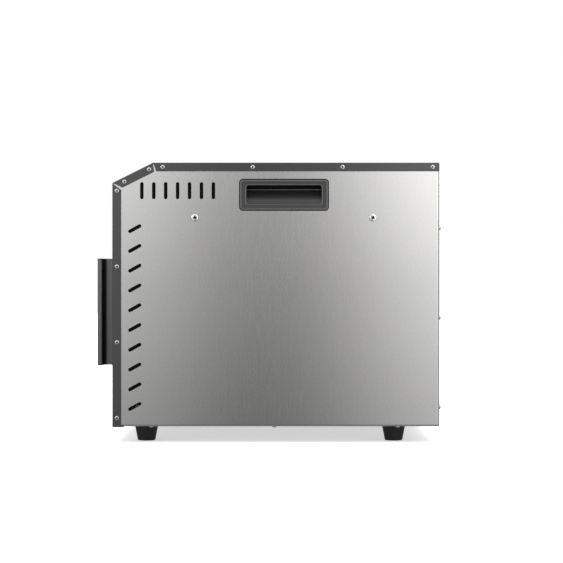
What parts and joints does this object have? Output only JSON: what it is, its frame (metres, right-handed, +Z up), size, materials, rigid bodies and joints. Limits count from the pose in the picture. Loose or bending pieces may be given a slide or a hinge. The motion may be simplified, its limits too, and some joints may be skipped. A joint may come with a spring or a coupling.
{
  "type": "food dehydrator",
  "caption": "Cabinet food dehydrator with a sloping control panel, hinged glass door, recessed carry handles, rear fan and heater, and stacked wire trays.",
  "frame": {"origin": "on the floor, under the middle of the overall box", "axes": "+Z up, -Y out of the door, +X to the right seen from the front"},
  "size_m": [0.3492, 0.4654, 0.378],
  "materials": {
    "dark_sheet": "satin",
    "brushed_panel": "vertical grain",
    "zinc_sheet": "satin",
    "chamber_steel": "fine grain",
    "tray_steel": "electropolished wire",
    "motor_steel": "satin",
    "fan_sheet": "satin",
    "black_plastic": "fine texture",
    "foot_rubber": "matte",
    "screw_steel": "plated",
    "pin_brass": "nickel plated",
    "fascia_plastic": "gloss",
    "lens_plastic": "gloss",
    "key_plastic": "satin",
    "board_laminate": "solder mask",
    "wire_jacket": "pvc",
    "door_glass": "tempered, grey",
    "seal_silicone": "silicone",
    "pull_aluminium": "brushed"
  },
  "bodies": {
    "casing": {"air_baffle": "chamber_steel", "bottom_panel": "zinc_sheet", "carry_handle_left": "black_plastic", "carry_handle_right": "black_plastic", "chamber_ceiling": "chamber_steel", "chamber_floor": "chamber_steel", "chamber_wall_left": "chamber_steel", "chamber_wall_right": "chamber_steel", "control_board": "board_laminate", "control_fascia": "fascia_plastic", "cover_screws": "screw_steel", "display_lens": "lens_plastic", "door_magnet": "black_plastic", "fan_guard": "tray_steel", "fan_motor": "motor_steel", "feet": "foot_rubber", "front_frame": "zinc_sheet", "front_top_cover": "dark_sheet", "heater_element": "motor_steel", "hinge_pins": "zinc_sheet", "inlet_pins": "pin_brass", "motor_plate": "zinc_sheet", "power_board": "board_laminate", "power_inlet": "black_plastic", "rack_screws": "screw_steel", "rack_spacers": "chamber_steel", "rear_panel": "zinc_sheet", "rear_screws": "screw_steel", "side_panel_left": "brushed_panel", "side_panel_right": "brushed_panel", "temperature_probe": "motor_steel", "thermal_cutout": "black_plastic", "tray_rails_left": "chamber_steel", "tray_rails_right": "chamber_steel", "underside_screws": "screw_steel", "wiring": "wire_jacket"},
    "door": {"door_frame": "dark_sheet", "door_inner_frame": "chamber_steel", "door_glass": "door_glass", "door_seal": "seal_silicone", "door_pull": "pull_aluminium", "pull_screws": "screw_steel", "hinge_blocks": "chamber_steel"},
    "fan": {"fan_impeller": "fan_sheet", "fan_shaft": "chamber_steel"},
    "key_power_cap": {"key_power": "key_plastic"},
    "key_mode_cap": {"key_mode": "key_plastic"},
    "key_minus_cap": {"key_minus": "key_plastic"},
    "key_plus_cap": {"key_plus": "key_plastic"},
    "key_start_cap": {"key_start": "key_plastic"},
    "tray_01_body": {"tray_01": "tray_steel"},
    "tray_02_body": {"tray_02": "tray_steel"},
    "tray_03_body": {"tray_03": "tray_steel"},
    "tray_04_body": {"tray_04": "tray_steel"},
    "tray_05_body": {"tray_05": "tray_steel"},
    "tray_06_body": {"tray_06": "tray_steel"},
    "tray_07_body": {"tray_07": "tray_steel"},
    "tray_08_body": {"tray_08": "tray_steel"},
    "tray_09_body": {"tray_09": "tray_steel"},
    "tray_10_body": {"tray_10": "tray_steel"}
  },
  "joints": [
    {"name": "door_hinge", "type": "hinge", "parent": "casing", "child": "door", "pos_m": [-0.1615, -0.20695, 0.1761], "axis": [0, 0, -1], "range_deg": [0, 105]},
    {"name": "fan_spin", "type": "hinge", "parent": "casing", "child": "fan", "pos_m": [0, 0.18205, 0.1711], "axis": [0, 1, 0], "continuous": true},
    {"name": "key_power_press", "type": "slide", "parent": "casing", "child": "key_power_cap", "axis": [0, 0.4472, -0.8944], "range_m": [0, 0.0008], "stiffness_N_per_m": 600, "springref_m": -0.0008},
    {"name": "key_mode_press", "type": "slide", "parent": "casing", "child": "key_mode_cap", "axis": [0, 0.4472, -0.8944], "range_m": [0, 0.0008], "stiffness_N_per_m": 600, "springref_m": -0.0008},
    {"name": "key_minus_press", "type": "slide", "parent": "casing", "child": "key_minus_cap", "axis": [0, 0.4472, -0.8944], "range_m": [0, 0.0008], "stiffness_N_per_m": 600, "springref_m": -0.0008},
    {"name": "key_plus_press", "type": "slide", "parent": "casing", "child": "key_plus_cap", "axis": [0, 0.4472, -0.8944], "range_m": [0, 0.0008], "stiffness_N_per_m": 600, "springref_m": -0.0008},
    {"name": "key_start_press", "type": "slide", "parent": "casing", "child": "key_start_cap", "axis": [0, 0.4472, -0.8944], "range_m": [0, 0.0008], "stiffness_N_per_m": 600, "springref_m": -0.0008},
    {"name": "tray_01_slide", "type": "slide", "parent": "casing", "child": "tray_01_body", "axis": [0, -1, 0], "range_m": [0, 0.008]},
    {"name": "tray_02_slide", "type": "slide", "parent": "casing", "child": "tray_02_body", "axis": [0, -1, 0], "range_m": [0, 0.008]},
    {"name": "tray_03_slide", "type": "slide", "parent": "casing", "child": "tray_03_body", "axis": [0, -1, 0], "range_m": [0, 0.008]},
    {"name": "tray_04_slide", "type": "slide", "parent": "casing", "child": "tray_04_body", "axis": [0, -1, 0], "range_m": [0, 0.008]},
    {"name": "tray_05_slide", "type": "slide", "parent": "casing", "child": "tray_05_body", "axis": [0, -1, 0], "range_m": [0, 0.008]},
    {"name": "tray_06_slide", "type": "slide", "parent": "casing", "child": "tray_06_body", "axis": [0, -1, 0], "range_m": [0, 0.008]},
    {"name": "tray_07_slide", "type": "slide", "parent": "casing", "child": "tray_07_body", "axis": [0, -1, 0], "range_m": [0, 0.008]},
    {"name": "tray_08_slide", "type": "slide", "parent": "casing", "child": "tray_08_body", "axis": [0, -1, 0], "range_m": [0, 0.008]},
    {"name": "tray_09_slide", "type": "slide", "parent": "casing", "child": "tray_09_body", "axis": [0, -1, 0], "range_m": [0, 0.008]},
    {"name": "tray_10_slide", "type": "slide", "parent": "casing", "child": "tray_10_body", "axis": [0, -1, 0], "range_m": [0, 0.008]}
  ]
}
